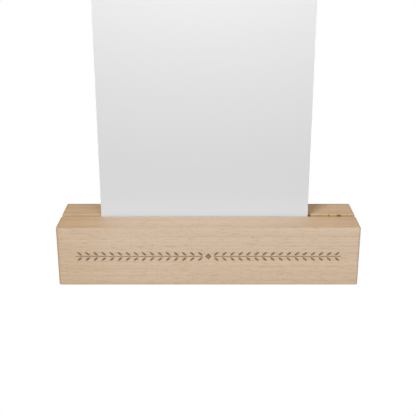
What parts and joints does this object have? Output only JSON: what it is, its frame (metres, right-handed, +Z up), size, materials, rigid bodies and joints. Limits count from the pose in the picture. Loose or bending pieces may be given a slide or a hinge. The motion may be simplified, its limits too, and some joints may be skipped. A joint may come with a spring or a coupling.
{
  "type": "wooden photo block holder",
  "caption": "Low beech block with a slot sawn along its top and a leaf border engraved on its front, holding a stiff blank photo card upright.",
  "frame": {"origin": "centre of the block's flat base, where it stands on a table", "axes": "+Z up, X along the grain and the slot, -Y towards the engraved front face"},
  "size_m": [0.15, 0.035, 0.167],
  "materials": {
    "beech": "fine-sanded, satin",
    "card": "matt white coating"
  },
  "bodies": {
    "block": {"wood_block": "beech"},
    "card": {"photo_card": "card"}
  },
  "joints": [
    {"name": "card_lift", "type": "slide", "parent": "block", "child": "card", "axis": [0, 0, 1], "range_m": [0, 0.02]}
  ]
}
